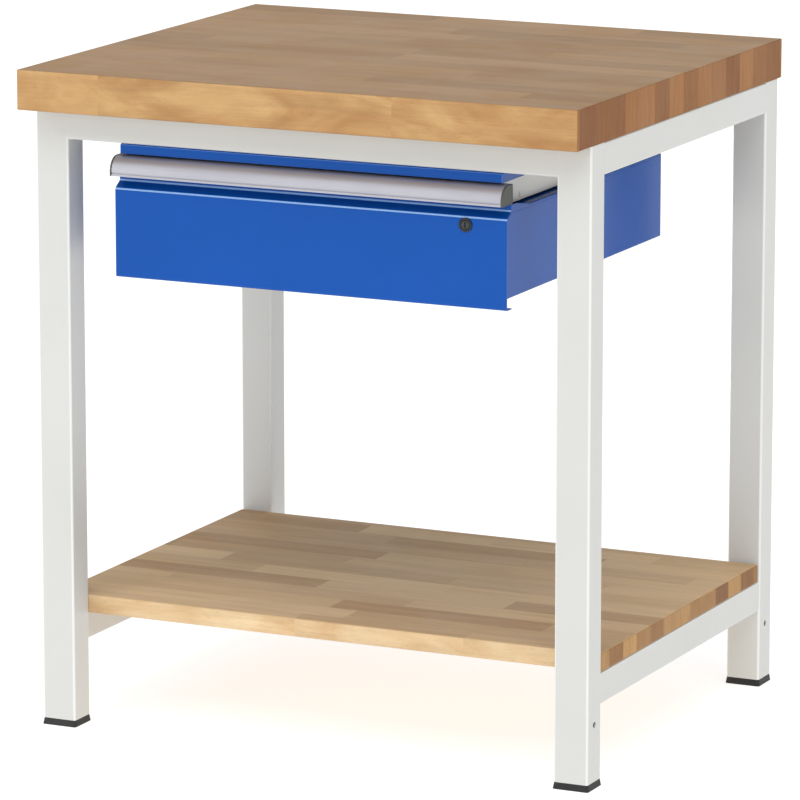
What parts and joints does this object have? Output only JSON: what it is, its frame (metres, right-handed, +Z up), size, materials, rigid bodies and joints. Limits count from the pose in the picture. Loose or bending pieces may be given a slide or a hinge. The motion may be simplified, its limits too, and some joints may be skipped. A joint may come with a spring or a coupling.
{
  "type": "workbench with drawer",
  "caption": "Square-tube steel workbench with a beech top, a beech lower shelf and a lockable full-extension drawer hung under the top.",
  "frame": {"origin": "on the floor under the centre of the worktop", "axes": "+Z up, +X to the right along the worktop's width, the user stands at -Y and the drawer opens towards -Y"},
  "size_m": [0.7506, 0.65, 0.84],
  "materials": {
    "worktop_beech": "oiled",
    "shelf_beech": "lacquered",
    "frame_powder_coat": "satin powder coat",
    "drawer_powder_coat": "satin powder coat",
    "handle_aluminium": "satin anodised",
    "cap_plastic": "moulded",
    "foot_plastic": "moulded",
    "zinc_steel": "zinc plated",
    "lock_black": "gloss",
    "lock_metal": "nickel"
  },
  "bodies": {
    "frame": {"worktop": "worktop_beech", "leg_front_left": "frame_powder_coat", "leg_rear_left": "frame_powder_coat", "leg_front_right": "frame_powder_coat", "leg_rear_right": "frame_powder_coat", "foot_front_left": "foot_plastic", "foot_rear_left": "foot_plastic", "foot_front_right": "foot_plastic", "foot_rear_right": "foot_plastic", "top_rail_front": "frame_powder_coat", "top_rail_rear": "frame_powder_coat", "top_rail_left": "frame_powder_coat", "top_rail_right": "frame_powder_coat", "lower_rail_left": "frame_powder_coat", "lower_rail_right": "frame_powder_coat", "shelf": "shelf_beech", "worktop_screw_front_left": "zinc_steel", "worktop_screw_rear_left": "zinc_steel", "worktop_screw_front_right": "zinc_steel", "worktop_screw_rear_right": "zinc_steel", "shelf_screw_front_left": "zinc_steel", "shelf_screw_rear_left": "zinc_steel", "shelf_screw_front_right": "zinc_steel", "shelf_screw_rear_right": "zinc_steel", "cross_member_front": "drawer_powder_coat", "cross_member_rear": "drawer_powder_coat", "cross_screw_front_left": "zinc_steel", "cross_screw_rear_left": "zinc_steel", "cross_screw_front_right": "zinc_steel", "cross_screw_rear_right": "zinc_steel", "hanger_left": "frame_powder_coat", "hanger_right": "frame_powder_coat", "hanger_bolt_front_left": "zinc_steel", "hanger_bolt_rear_left": "zinc_steel", "hanger_bolt_front_right": "zinc_steel", "hanger_bolt_rear_right": "zinc_steel", "slide_fixed_left": "zinc_steel", "slide_fixed_right": "zinc_steel", "lock_striker": "zinc_steel"},
    "drawer": {"drawer_box": "drawer_powder_coat", "drawer_front": "drawer_powder_coat", "handle_profile": "handle_aluminium", "handle_cap_left": "cap_plastic", "handle_cap_right": "cap_plastic", "handle_screw_1": "zinc_steel", "handle_screw_2": "zinc_steel", "handle_screw_3": "zinc_steel", "slide_drawer_left": "zinc_steel", "slide_drawer_right": "zinc_steel", "lock_housing": "lock_black", "lock_nut": "zinc_steel"},
    "lock_plug": {"lock_cylinder": "lock_metal", "lock_cam": "zinc_steel", "lock_cam_screw": "zinc_steel"},
    "slide_carriage_left": {"slide_middle_left": "zinc_steel"},
    "slide_carriage_right": {"slide_middle_right": "zinc_steel"}
  },
  "joints": [
    {"name": "drawer_slide", "type": "slide", "parent": "frame", "child": "drawer", "axis": [0, -1, 0], "range_m": [0, 0.45]},
    {"name": "carriage_left_slide", "type": "slide", "parent": "frame", "child": "slide_carriage_left", "axis": [0, -1, 0], "range_m": [0, 0.225]},
    {"name": "carriage_right_slide", "type": "slide", "parent": "frame", "child": "slide_carriage_right", "axis": [0, -1, 0], "range_m": [0, 0.225]},
    {"name": "lock_turn", "type": "hinge", "parent": "drawer", "child": "lock_plug", "pos_m": [0.21, -0.26, 0.684], "axis": [0, 1, 0], "range_deg": [0, 90]}
  ],
  "couplings": [
    {"joint": "carriage_left_slide", "follows": "drawer_slide", "ratio": 0.5},
    {"joint": "carriage_right_slide", "follows": "drawer_slide", "ratio": 0.5}
  ]
}
